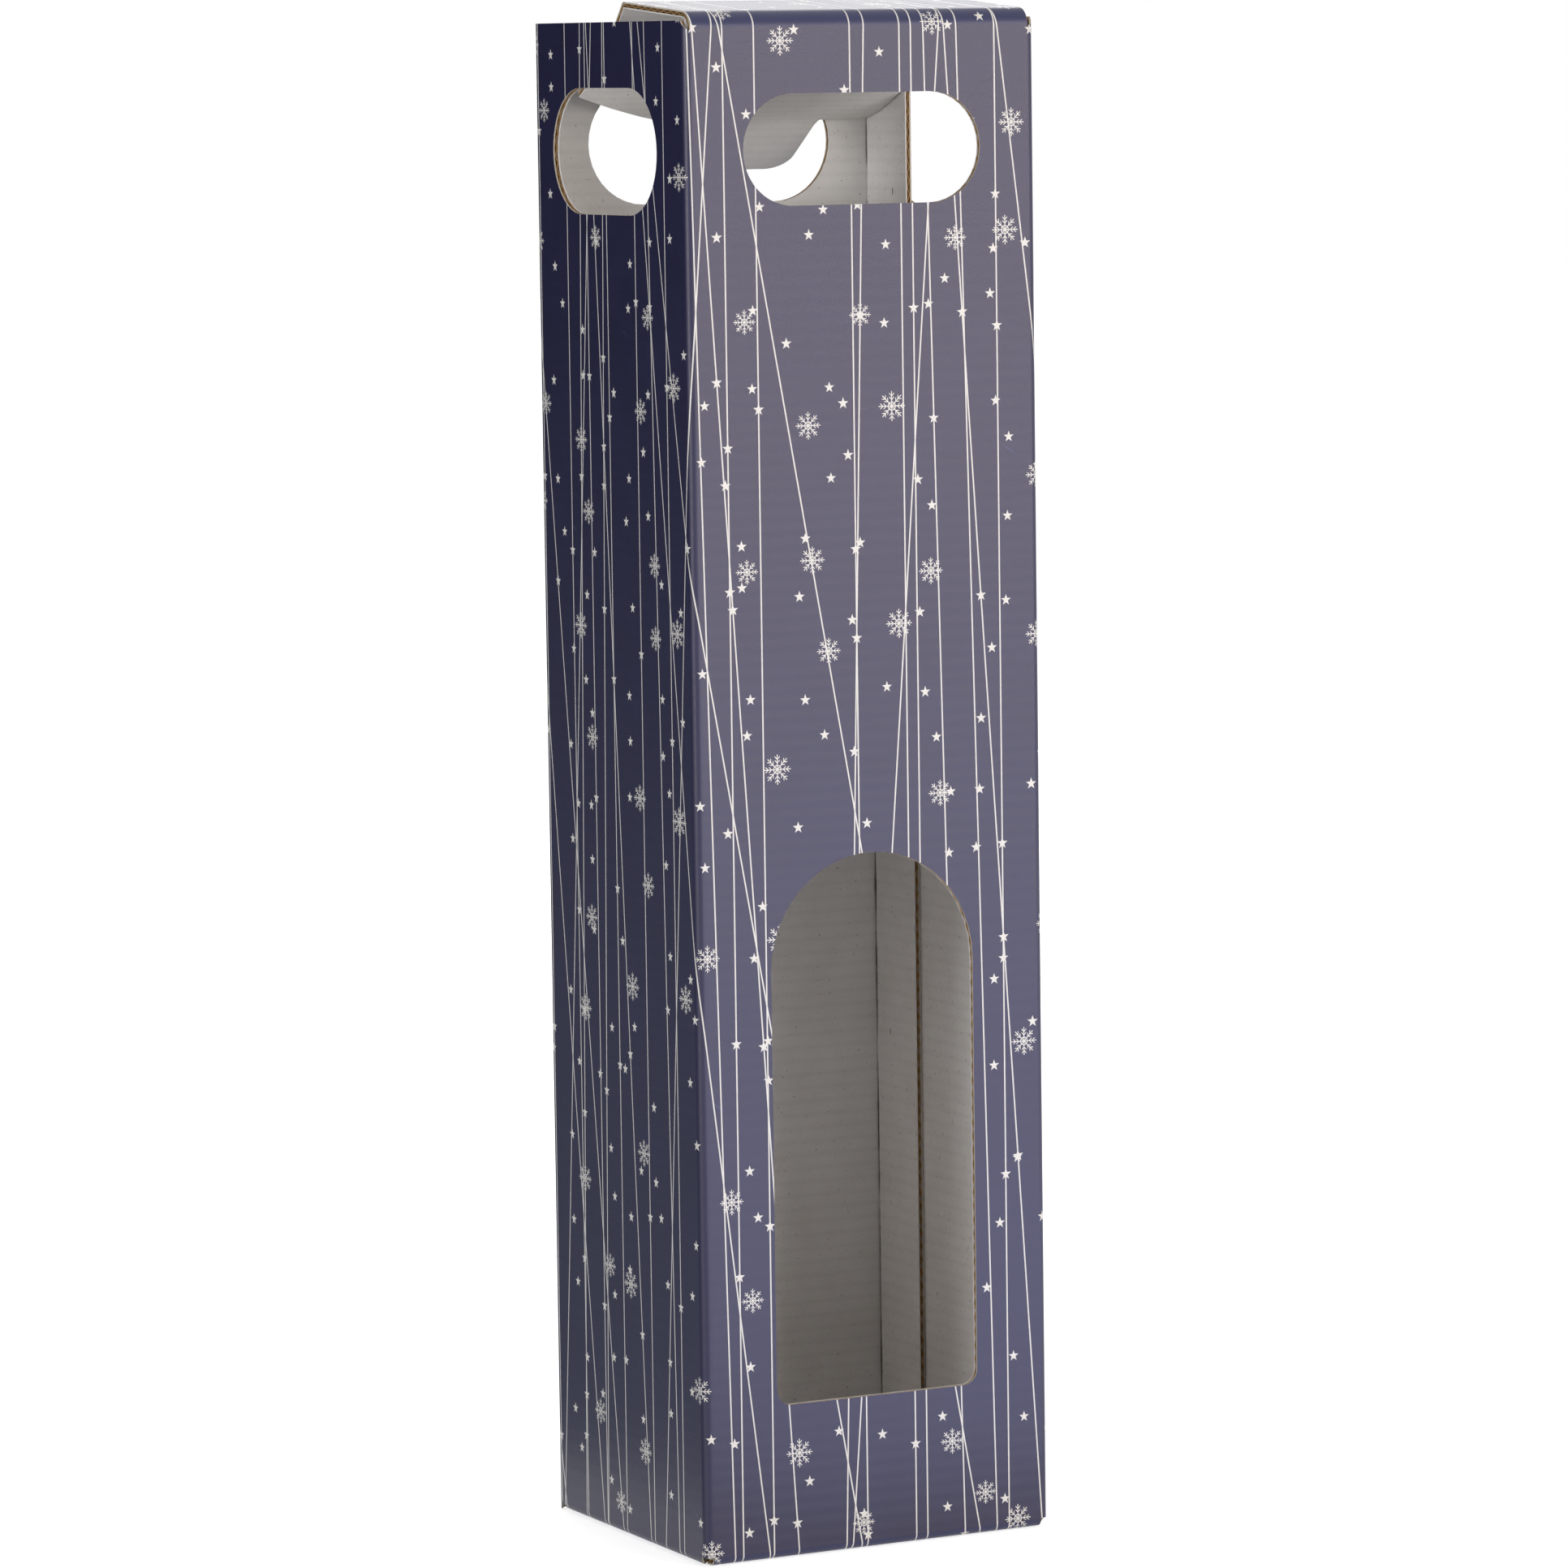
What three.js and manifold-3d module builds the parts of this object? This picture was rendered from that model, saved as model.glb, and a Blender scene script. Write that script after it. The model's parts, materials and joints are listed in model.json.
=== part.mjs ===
// Wine gift box: a tall carton for one bottle, folded up from a single die-cut blank of
// printed single-wall corrugated board. Millimetres, +Z up, the front faces -Y, and the
// origin lies under the middle of the base.
import * as THREE from 'three';
import { mergeVertices } from 'three/addons/utils/BufferGeometryUtils.js';
import Module from 'manifold-3d';

// Carton, measured outside
const boxWidth = 96;
const boxDepth = 84;
const wallHeight = 376;
const creaseRadius = 2;

// Board: two paper liners glued to a wavy sheet of brown paper, with flutes lying level
const printedLiner = 0.4;
const fluting = 0.8;
const innerLiner = 0.3;
const glueFilm = 0.05;
const flutePitch = 3.5;
const flutePaper = 0.22;

// Room left in the folds, and between flaps that slip past each other
const foldGap = 0.15;
const slipGap = 0.3;

// Lid: a top panel, then a flap that slopes down to the back wall and ends in a tongue
const lidDepth = 36.5;
const lidSideInset = 1.8;
const lidTilt = THREE.MathUtils.degToRad(4.5);
const lidRise = 0.4;
const lidCreaseRadius = 4.5;
const shoulderDrop = 24.6;
const shoulderGap = 0.4;
const shoulderRadius = 3;
const flapSideGap = 0.5;
const flapTaperLength = 20;
const flapTaperWidth = 34;
const tongueLength = 24;
const tongueWidth = 36;
const tongueSideGap = 3;
const tongueRadius = 6;

// Hand holes, all with round ends, placed by their middle height below the top of the walls
const frontHoleLength = 65;
const frontHoleHeight = 27;
const frontHoleDrop = 31.3;
const backHoleLength = 68;
const backHoleHeight = 30.6;
const backHoleBelowShoulder = 5.7;
const sideHoleHeight = 31;
const sideHoleDrop = 31.5;
const sideHoleFront = 15.5;
const sideHoleLength = 58;

// Arched window in the front
const windowWidth = 56;
const windowFoot = 38;
const windowHeight = 135;
const windowCorner = 4;

// Glue flap, folded from the back wall and stuck to the inside of the right wall
const glueFlapWidth = 21.4;
const glueFlapTaper = 9;
const glueFlapFoot = 8;
const seamGap = 0.16;
const seamFilm = 0.1;
const seamInset = 4;

// Base: a panel folded from the front wall, its tuck flap, and a dust flap on each side
const baseSideInset = 2.2;
const baseNeckGap = 0.7;
const tuckHeight = 16;
const tuckSideGap = 0.9;
const tuckRadius = 7;
const dustLength = 38;
const dustRamp = 4.5;
const dustRootInset = 2.5;
const dustBackInset = 10;

// Fineness of the holes, of the flaps' round corners and of the creases, in pairs of steps
const holeSteps = 9;
const cornerSteps = 4;
const creaseSteps = 2;

// Worked out from the sizes above
const board = printedLiner + fluting + innerLiner + 2 * glueFilm;
const halfWidth = boxWidth / 2;
const halfDepth = boxDepth / 2;
const quarterTurn = Math.PI / 2;
const cornerReach = Math.max(creaseRadius, board);

const wasm = await Module();
wasm.setup();

const printedBoard = { color: 0x4c4f6d, roughness: 0.5, metalness: 0 };
const brownPaper = { color: 0xa67c45, roughness: 0.9, metalness: 0 };
const whitePaper = { color: 0xd9d5d2, roughness: 0.85, metalness: 0 };
const driedGlue = { color: 0xe8e0c8, roughness: 0.4, metalness: 0 };

// A closed three.js geometry as a solid that can be cut.
function solid(geometry) {
  geometry.deleteAttribute('normal');
  geometry.deleteAttribute('uv');
  const merged = mergeVertices(geometry, 1e-4);
  return new wasm.Manifold(new wasm.Mesh({
    numProp: 3,
    vertProperties: merged.attributes.position.array,
    triVerts: new Uint32Array(merged.index.array),
  }));
}

// A cut solid as a three.js geometry.
function surface(cut) {
  const mesh = cut.getMesh();
  const geometry = new THREE.BufferGeometry();
  geometry.setAttribute('position', new THREE.BufferAttribute(mesh.vertProperties, 3));
  geometry.setIndex(new THREE.BufferAttribute(mesh.triVerts, 1));
  geometry.computeVertexNormals();
  return geometry;
}

function mesh(name, geometry, finish) {
  const piece = new THREE.Mesh(geometry, new THREE.MeshStandardMaterial(finish));
  piece.name = name;
  return piece;
}

// Every panel is drawn in its own frame: x along the flutes, y across them, z out of the
// printed face, which lies at z = 0. The board fills the depth below it.

// Flat plate of an outline, whose upper face lies a given depth below the printed face.
function plate(outline, depth, thickness, steps = holeSteps) {
  const shape = { depth: thickness, bevelEnabled: false, curveSegments: steps };
  return new THREE.ExtrudeGeometry(outline, shape).translate(0, 0, -depth - thickness);
}

// Turns a section drawn in y and z, and drawn out along x, into the panel's frame.
const alongFlutes = new THREE.Matrix4().makeBasis(
  new THREE.Vector3(0, 1, 0), new THREE.Vector3(0, 0, 1), new THREE.Vector3(1, 0, 0));

function drawnAlongFlutes(section, from, to) {
  const shape = { depth: to - from, bevelEnabled: false, curveSegments: creaseSteps };
  return new THREE.ExtrudeGeometry(section, shape).applyMatrix4(alongFlutes).translate(from, 0, 0);
}

// The wavy sheet between the liners, trimmed to the panel's outline.
function flutedSheet(outline, steps) {
  const box = new THREE.Box2().setFromPoints(outline.getPoints(steps));
  const top = -printedLiner - glueFilm;
  const crests = [];
  for (let step = 0; box.min.y + (step - 1) * flutePitch / 2 < box.max.y; step += 1) {
    const height = step % 2 === 0 ? top - fluting + flutePaper : top;
    crests.push(new THREE.Vector2(box.min.y + step * flutePitch / 2, height));
  }
  const troughs = crests.map((point) => new THREE.Vector2(point.x, point.y - flutePaper)).reverse();
  const wave = drawnAlongFlutes(new THREE.Shape([...crests, ...troughs]), box.min.x, box.max.x);
  const layer = plate(outline, printedLiner, fluting + 2 * glueFilm, steps);
  return surface(solid(wave).intersect(solid(layer)));
}

// Section of a printed liner that is flat from one end to the other and bends inwards in a
// round crease at either end. A bend of no angle leaves that end square.
function creasedSection(from, to, first, last) {
  const section = new THREE.Shape();
  const inside = printedLiner;
  section.absarc(from, -first.radius, first.radius, quarterTurn + first.angle, quarterTurn, true);
  section.absarc(to, -last.radius, last.radius, quarterTurn, quarterTurn - last.angle, true);
  section.absarc(to, -last.radius, last.radius - inside, quarterTurn - last.angle, quarterTurn, false);
  section.absarc(from, -first.radius, first.radius - inside, quarterTurn, quarterTurn + first.angle, false);
  section.closePath();
  return section;
}

function rectangle(left, bottom, rightEdge, top) {
  return new THREE.Shape([
    new THREE.Vector2(left, bottom), new THREE.Vector2(rightEdge, bottom),
    new THREE.Vector2(rightEdge, top), new THREE.Vector2(left, top),
  ]);
}

// Hole with two round ends.
function roundEnded(middleX, middleY, length, height) {
  const radius = height / 2;
  const reach = length / 2 - radius;
  const hole = new THREE.Path();
  hole.absarc(middleX + reach, middleY, radius, -quarterTurn, quarterTurn, false);
  hole.absarc(middleX - reach, middleY, radius, quarterTurn, 3 * quarterTurn, false);
  hole.closePath();
  return hole;
}

// Window with a half-round head and two small round corners at its foot.
function arched(width, foot, height, corner) {
  const radius = width / 2;
  const spring = foot + height - radius;
  const hole = new THREE.Path();
  hole.absarc(radius - corner, foot + corner, corner, -quarterTurn, 0, false);
  hole.absarc(0, spring, radius, 0, 2 * quarterTurn, false);
  hole.absarc(corner - radius, foot + corner, corner, 2 * quarterTurn, 3 * quarterTurn, false);
  hole.closePath();
  return hole;
}

function withHoles(outline, holes) {
  outline.holes.push(...holes);
  return outline;
}

// Cuts the holes out of a creased liner.
function pierced(geometry, holes) {
  let piece = solid(geometry);
  for (const hole of holes) {
    const punch = new THREE.Shape(hole.getPoints(holeSteps));
    piece = piece.subtract(solid(plate(punch, -board, 3 * board)));
  }
  return surface(piece);
}

// Three plies of one panel. The printed liner may be given already creased.
function panel(name, { outline, lining = outline, printed, steps = holeSteps }) {
  const face = printed ?? plate(outline, 0, printedLiner, steps);
  const back = plate(lining, board - innerLiner, innerLiner, steps);
  const plies = new THREE.Group();
  plies.add(mesh(`${name}_printed_liner`, face, printedBoard));
  plies.add(mesh(`${name}_fluting`, flutedSheet(outline, steps), brownPaper));
  plies.add(mesh(`${name}_inner_liner`, back, whitePaper));
  return plies;
}

// Stands a panel up as a wall, or lays it face down, and then turns it about the vertical.
function place(plies, tip, turn, x, y, z) {
  plies.rotation.set(tip, 0, turn, 'ZYX');
  plies.position.set(x, y, z);
  return plies;
}

const box = new THREE.Group();

// The lid's front crease stands just above the side walls, so that the lid clears them.
const lidCreaseHeight = wallHeight + board + lidRise;
const lidBend = quarterTurn - lidTilt;
const lidSetback = lidCreaseRadius * Math.tan(lidBend / 2);
const squareCrease = { radius: creaseRadius, angle: quarterTurn };

// The walls' feet stop above the creases of the flaps folded from them. The dust flaps rise from
// their creases over the edges of the base panel.
const dustFloor = board + slipGap;
const dustRampEnd = creaseRadius + dustRamp;
const wallFoot = cornerReach + foldGap;
const frontTop = lidCreaseHeight - lidSetback - foldGap;

// The slope flap runs from under the rear crease of the lid to its shoulder at the back wall.
const rearCrease = {
  y: -halfDepth + lidDepth * Math.cos(lidTilt) + board * Math.sin(lidTilt),
  z: lidCreaseHeight + lidDepth * Math.sin(lidTilt) - board * Math.cos(lidTilt),
};
const shoulderHeight = wallHeight - shoulderDrop;
const slopeRun = halfDepth - board - shoulderGap - rearCrease.y;
const slope = Math.atan2(rearCrease.z - shoulderHeight, slopeRun);
const slopeLength = (slopeRun - board * Math.sin(slope)) / Math.cos(slope);
const backHoleHeightMiddle = shoulderHeight - backHoleBelowShoulder;

// Front wall: its printed liner wraps round both front corners.
function frontWall() {
  const holes = [
    roundEnded(0, wallHeight - frontHoleDrop, frontHoleLength, frontHoleHeight),
    arched(windowWidth, windowFoot, windowHeight, windowCorner),
  ];
  const flat = halfWidth - creaseRadius;
  const core = halfWidth - cornerReach;
  const inner = halfWidth - board - glueFilm;
  const section = creasedSection(-flat, flat, squareCrease, squareCrease);
  const height = frontTop - wallFoot;
  const shape = { depth: height, bevelEnabled: false, curveSegments: creaseSteps };
  const wrap = new THREE.ExtrudeGeometry(section, shape).rotateX(quarterTurn).translate(0, frontTop, 0);
  return panel('front_wall', {
    outline: withHoles(rectangle(-core, wallFoot, core, frontTop), holes),
    lining: withHoles(rectangle(-inner, wallFoot, inner, frontTop), holes),
    printed: pierced(wrap, holes),
  });
}

// Back wall: wraps round the back left corner, and on the other side into the glue flap.
function backWall() {
  const holes = [roundEnded(0, backHoleHeightMiddle, backHoleLength, backHoleHeight)];
  const seamFace = halfWidth - board - seamGap;
  const section = creasedSection(
    creaseRadius - seamFace, halfWidth - creaseRadius, squareCrease, squareCrease);
  const shape = { depth: wallHeight, bevelEnabled: false, curveSegments: creaseSteps };
  const wrap = new THREE.ExtrudeGeometry(section, shape).rotateX(quarterTurn).translate(0, wallHeight, 0);
  return panel('back_wall', {
    outline: withHoles(
      rectangle(cornerReach - seamFace, 0, halfWidth - cornerReach, wallHeight), holes),
    lining: withHoles(
      rectangle(board + glueFilm - seamFace, 0, halfWidth - board - glueFilm, wallHeight), holes),
    printed: pierced(wrap, holes),
  });
}

// Side wall: flat, with its cut edge at the top. The right one ends in a cut edge at the
// back too, over the glue flap, which covers the rear end of its hole.
function sideWall(name, frontwards, backEdge) {
  const front = halfDepth - cornerReach - glueFilm;
  const back = backEdge ?? front;
  const liningFront = halfDepth - board - glueFilm;
  const liningBack = backEdge ?? liningFront;
  const holeMiddle = halfDepth - sideHoleFront - sideHoleLength / 2;
  const hole = roundEnded(
    frontwards * holeMiddle, wallHeight - sideHoleDrop, sideHoleLength, sideHoleHeight);
  const span = (toFront, toBack) => (frontwards > 0
    ? rectangle(-toBack, wallFoot, toFront, wallHeight)
    : rectangle(-toFront, wallFoot, toBack, wallHeight));
  return panel(name, {
    outline: withHoles(span(front, back), [hole]),
    lining: withHoles(span(liningFront, liningBack), [hole]),
  });
}

// Glue flap: a long strip with tapered ends, inside the right wall.
function glueFlap() {
  const crease = halfDepth - cornerReach - glueFilm;
  const inner = halfDepth - board - glueFilm;
  const edge = halfDepth - board - glueFlapWidth;
  const strip = (creaseSide) => new THREE.Shape([
    new THREE.Vector2(edge, glueFlapFoot + glueFlapTaper), new THREE.Vector2(creaseSide, glueFlapFoot),
    new THREE.Vector2(creaseSide, wallHeight), new THREE.Vector2(edge, wallHeight - glueFlapTaper),
  ]);
  return panel('glue_flap', { outline: strip(crease), lining: strip(inner) });
}

// Line of dried glue between the glue flap and the right wall, ending below the hand hole.
function seamGlue() {
  const front = halfDepth - board - glueFlapWidth + seamInset;
  const back = halfDepth - cornerReach - seamInset;
  const low = glueFlapFoot + glueFlapTaper + seamInset;
  const high = wallHeight - sideHoleDrop - sideHoleHeight / 2 - seamInset;
  const film = plate(rectangle(front, low, back, high), (seamGap - seamFilm) / 2, seamFilm);
  const strip = new THREE.Group();
  strip.add(mesh('seam_glue', film, driedGlue));
  return strip;
}

// Lid top: bends down to the front wall, and starts to bend down again at its rear crease.
function lidTop() {
  const half = halfWidth - lidSideInset;
  const first = { radius: lidCreaseRadius, angle: lidBend };
  const last = { radius: board, angle: lidTilt + slope };
  const section = creasedSection(lidSetback, lidDepth, first, last);
  return panel('lid_top', {
    outline: rectangle(-half, lidSetback, half, lidDepth - glueFilm),
    printed: drawnAlongFlutes(section, -half, half),
  });
}

// Lid flap: slopes down between the side walls to a round shoulder at the back wall on the
// right, and tapers away on the left. Its tongue passes through the back hand hole.
function lidFlap() {
  const leftEdge = -(halfWidth - board - flapSideGap);
  const rightEdge = halfWidth - 2 * board - seamGap - flapSideGap;
  const tongueRight = backHoleLength / 2 - tongueSideGap;
  const tongueLeft = tongueRight - tongueWidth;
  const tip = slopeLength + tongueLength;
  const outline = new THREE.Shape();
  outline.moveTo(leftEdge, glueFilm);
  outline.lineTo(rightEdge, glueFilm);
  outline.absarc(
    rightEdge - shoulderRadius, slopeLength - shoulderRadius, shoulderRadius, 0, quarterTurn, false);
  outline.lineTo(tongueRight, slopeLength);
  outline.absarc(
    tongueRight - tongueRadius, tip - tongueRadius, tongueRadius, 0, quarterTurn, false);
  outline.absarc(
    tongueLeft + tongueRadius, tip - tongueRadius, tongueRadius, quarterTurn, 2 * quarterTurn, false);
  outline.lineTo(tongueLeft, slopeLength);
  outline.lineTo(leftEdge + flapTaperWidth, slopeLength);
  outline.lineTo(leftEdge, slopeLength - flapTaperLength);
  outline.closePath();
  return panel('lid_flap', { outline, steps: cornerSteps });
}

// Base panel: folded from the foot of the front wall, and up into the tuck flap at the back. It is
// cut in at 45 degrees behind its crease, to lie between the ramps of the dust flaps.
const baseLength = boxDepth - 2 * board - slipGap;
const baseHalf = halfWidth - dustRampEnd - slipGap;

function basePanel() {
  const half = halfWidth - baseSideInset;
  const neck = dustRootInset + baseSideInset - baseNeckGap;
  const neckEnd = neck + half - baseHalf;
  const leaf = (from, to) => new THREE.Shape([
    new THREE.Vector2(-half, from), new THREE.Vector2(half, from), new THREE.Vector2(half, neck),
    new THREE.Vector2(baseHalf, neckEnd), new THREE.Vector2(baseHalf, to),
    new THREE.Vector2(-baseHalf, to), new THREE.Vector2(-baseHalf, neckEnd), new THREE.Vector2(-half, neck),
  ]);
  const tuckCrease = { radius: board, angle: quarterTurn };
  const section = creasedSection(creaseRadius, baseLength, squareCrease, tuckCrease);
  const strip = drawnAlongFlutes(section, -half, half);
  const trim = plate(leaf(-board, boxDepth), -board, 3 * board + creaseRadius);
  return panel('base_panel', {
    outline: leaf(cornerReach, baseLength - glueFilm),
    printed: surface(solid(strip).intersect(solid(trim))),
  });
}

// Tuck flap: stands inside the back wall and holds the base shut. It passes the glue flap.
function tuckFlap() {
  const half = baseHalf - tuckSideGap;
  const outline = new THREE.Shape();
  outline.moveTo(-half, glueFilm);
  outline.lineTo(half, glueFilm);
  outline.absarc(half - tuckRadius, tuckHeight - tuckRadius, tuckRadius, 0, quarterTurn, false);
  outline.absarc(
    tuckRadius - half, tuckHeight - tuckRadius, tuckRadius, quarterTurn, 2 * quarterTurn, false);
  outline.closePath();
  return panel('tuck_flap', { outline, steps: cornerSteps });
}

// Dust flap: folded in from the foot of a side wall, and up a short ramp to lie above the base
// panel. Its front is cut off at 45 degrees, so that it can swing down as the base panel opens.
function dustFlap(name, frontwards) {
  const root = halfDepth - dustRootInset;
  const taper = dustBackInset - dustRootInset;
  const corner = (inset, end, length) => new THREE.Vector2(end * frontwards * (root - inset), length);
  const leaf = (from) => new THREE.Shape([
    corner(from, 1, from), corner(from, -1, from), corner(taper, -1, taper),
    corner(taper, -1, dustLength), corner(dustLength, 1, dustLength),
  ]);
  const middle = dustFloor - creaseRadius;
  const section = new THREE.Shape();
  section.absarc(creaseRadius, middle, creaseRadius, 2 * quarterTurn, quarterTurn, true);
  section.lineTo(dustRampEnd, 0);
  section.lineTo(dustLength, 0);
  section.lineTo(dustLength, -printedLiner);
  section.lineTo(dustRampEnd, -printedLiner);
  section.absarc(creaseRadius, middle, creaseRadius - printedLiner, quarterTurn, 2 * quarterTurn, false);
  section.closePath();
  const strip = drawnAlongFlutes(section, -halfDepth, halfDepth);
  const trim = plate(leaf(-board), -dustFloor - board, dustFloor + 3 * board + creaseRadius);
  return panel(name, {
    outline: leaf(dustRampEnd),
    printed: surface(solid(strip).intersect(solid(trim))),
  });
}

const leftWall = sideWall('left_wall', 1);
const rightWall = sideWall('right_wall', -1, halfDepth);

box.add(place(frontWall(), quarterTurn, 0, 0, -halfDepth, 0));
box.add(place(rightWall, quarterTurn, quarterTurn, halfWidth, 0, 0));
box.add(place(backWall(), quarterTurn, 2 * quarterTurn, 0, halfDepth, 0));
box.add(place(leftWall, quarterTurn, -quarterTurn, -halfWidth, 0, 0));
box.add(place(glueFlap(), quarterTurn, quarterTurn, halfWidth - board - seamGap, 0, 0));
box.add(place(seamGlue(), quarterTurn, quarterTurn, halfWidth - board, 0, 0));
box.add(place(lidTop(), lidTilt, 0, 0, -halfDepth, lidCreaseHeight));
box.add(place(
  lidFlap(), -slope, 0,
  0, rearCrease.y + board * Math.sin(slope), rearCrease.z + board * Math.cos(slope)));
box.add(place(basePanel(), 2 * quarterTurn, 2 * quarterTurn, 0, -halfDepth, 0));
box.add(place(tuckFlap(), quarterTurn, 2 * quarterTurn, 0, baseLength + board - halfDepth, board));
box.add(place(dustFlap('dust_flap_left', -1), 2 * quarterTurn, quarterTurn, -halfWidth, 0, dustFloor));
box.add(place(dustFlap('dust_flap_right', 1), 2 * quarterTurn, -quarterTurn, halfWidth, 0, dustFloor));

export default box;
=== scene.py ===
import json
import math
import bpy
import numpy as np
from mathutils import Matrix, Vector


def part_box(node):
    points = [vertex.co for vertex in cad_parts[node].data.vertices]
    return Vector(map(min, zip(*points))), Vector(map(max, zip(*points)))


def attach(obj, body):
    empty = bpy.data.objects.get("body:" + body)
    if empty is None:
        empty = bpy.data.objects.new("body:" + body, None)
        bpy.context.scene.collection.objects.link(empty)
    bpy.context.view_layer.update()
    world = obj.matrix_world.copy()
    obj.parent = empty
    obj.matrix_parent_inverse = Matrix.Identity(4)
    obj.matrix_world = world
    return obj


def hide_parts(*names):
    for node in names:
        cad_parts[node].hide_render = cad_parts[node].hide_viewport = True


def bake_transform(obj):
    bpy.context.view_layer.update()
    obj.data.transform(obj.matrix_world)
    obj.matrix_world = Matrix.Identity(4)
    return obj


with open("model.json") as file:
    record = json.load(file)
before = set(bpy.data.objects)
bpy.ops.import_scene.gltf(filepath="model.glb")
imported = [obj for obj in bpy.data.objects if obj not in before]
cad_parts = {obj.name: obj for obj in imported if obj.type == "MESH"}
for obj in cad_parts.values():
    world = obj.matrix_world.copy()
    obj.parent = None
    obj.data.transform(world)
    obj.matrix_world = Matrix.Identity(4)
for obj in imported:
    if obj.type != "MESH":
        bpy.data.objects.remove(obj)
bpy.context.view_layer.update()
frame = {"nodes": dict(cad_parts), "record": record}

# Front wall, printed liner. The outer sheet of the board: bleached paper, litho printed dark blue
# with the pattern left white, and sealed with a matt varnish. One die cuts its window and hand hole,
# and it is creased round both front corners.
millimetre = 0.001
quarter_turn = math.pi / 2


def corners_of(node):
    """Lowest and highest corner of a solid at rest, in millimetres."""
    return [np.array(corner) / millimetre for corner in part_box(node)]


front_low, front_high = corners_of("front_wall_printed_liner")
half_width, front_face = front_high[0], front_low[1]
front_foot, front_top = front_low[2], front_high[2]
crease_radius = front_high[1] - front_low[1]
wall_top = corners_of("left_wall_printed_liner")[1][2]
seam_face = corners_of("glue_flap_printed_liner")[1][0]
window_breadth, window_foot, window_height, window_corner = 56.0, 38.0, 135.0, 4.0
front_hole_drop, front_hole_length, front_hole_breadth = 31.3, 65.0, 27.0
window_band, front_hole_band = (28.0, 183.0), (325.0, 365.0)
liner_thickness = 0.4
crease_margin = 1.0
crease_steps, hole_steps, ring_steps = 8, 24, 4


def creased(start, heading, side, pieces):
    """A creased sheet seen along its creases, as rows of distance, place and outward normal.
    A piece (length, 0) runs on straight, and (radius, angle) turns inwards round a crease, whose
    points lie at centre + radius * normal. Side is 1 where the outside is right of the heading."""
    rows = [np.array([[0.0, *start, side * math.sin(heading), -side * math.cos(heading)]])]
    for size, angle in pieces:
        last = rows[-1][-1]
        share = np.linspace(0, 1, crease_steps + 1)[1:] if angle else np.ones(1)
        turned = heading + side * angle * share
        normal = side * np.stack([np.sin(turned), -np.cos(turned)], axis=1)
        if angle:
            place, length = last[1:3] - size * last[3:5] + size * normal, size * angle
        else:
            place, length = last[1:3] + size * np.array([[math.cos(heading), math.sin(heading)]]), size
        rows.append(np.column_stack([last[0] + length * share, place, normal]))
        heading += side * angle
    return np.concatenate(rows)


def along(path, distance, depth=0.0):
    """Places at a distance along a creased sheet, and at a depth below its outer face."""
    first, second, normal_first, normal_second = (
        np.interp(distance, path[:, 0], path[:, column]) for column in range(1, 5))
    return first - depth * normal_first, second - depth * normal_second


flat_half = half_width - crease_radius
side_run = -2 * (front_face + crease_radius)
square = (crease_radius, quarter_turn)
right_round = creased((0, front_face), 0, 1, [(flat_half, 0), square, (side_run + crease_radius, 0)])
left_round = creased((0, front_face), math.pi, -1, [
    (flat_half, 0), square, (side_run, 0), square, (flat_half + seam_face - crease_radius, 0), square])
left_round[:, 0] *= -1
walls = np.concatenate([left_round[:0:-1], right_round])


def standing(u, v):
    """Folds the blank round the carton: u runs round the walls from the middle of the front, and v is
    the height."""
    x, y = along(walls, u)
    return np.stack([x, y, v], axis=-1)


def plain(columns, rows):
    """Grid of points (u, v) at every column and row."""
    return np.stack(np.meshgrid(columns, rows), axis=-1)


def round_ended(middle, height, length, breadth):
    """Edge of a hole with two round ends, as its foot, right, head and left sides, anticlockwise.
    An end is middle + reach + radius * cosine, and the sine gives its height."""
    radius = breadth / 2
    reach = length / 2 - radius
    flat = np.stack([middle + np.linspace(-reach, reach, hole_steps + 1),
                     np.full(hole_steps + 1, height - radius)], axis=1)
    turn = np.linspace(-quarter_turn, quarter_turn, hole_steps + 1)
    end = np.stack([middle + reach + radius * np.cos(turn), height + radius * np.sin(turn)], axis=1)
    half_turn = np.array([[2 * middle, 2 * height]])
    return [flat, end, half_turn - flat, half_turn - end]


def arched(breadth, foot, height, corner):
    """Edge of a window with a half-round head and round lower corners, side by side as above."""
    radius = breadth / 2
    spring = foot + height - radius
    corner_steps = hole_steps // 4
    low = np.stack([np.linspace(corner - radius, radius - corner, hole_steps + 1),
                    np.full(hole_steps + 1, foot)], axis=1)
    turn = np.linspace(-quarter_turn, 0, corner_steps + 1)
    bend = np.stack([radius - corner + corner * np.cos(turn), foot + corner + corner * np.sin(turn)], axis=1)
    rise = np.linspace(foot + corner, spring, hole_steps - corner_steps + 1)[1:]
    side = np.concatenate([bend, np.stack([np.full(len(rise), radius), rise], axis=1)])
    head_turn = np.linspace(0, math.pi, hole_steps + 1)
    head = np.stack([radius * np.cos(head_turn), spring + radius * np.sin(head_turn)], axis=1)
    return [low, side, head, side[::-1] * [-1, 1]]


def pierced(sides, left, low, right, high):
    """Ring of cells between a panel's straight edge and the edge of its hole: (1 - t) * edge + t * hole."""
    corners = np.array([[left, low], [right, low], [right, high], [left, high], [left, low]])
    edges = [corners[k] + np.linspace(0, 1, len(side))[:, None] * (corners[k + 1] - corners[k])
             for k, side in enumerate(sides)]
    outer, inner = (np.concatenate([part[:-1] for part in parts] + [parts[0][:1]])
                    for parts in (edges, sides))
    t = np.linspace(0, 1, ring_steps + 1)[:, None, None]
    return outer * (1 - t) + inner * t


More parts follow.
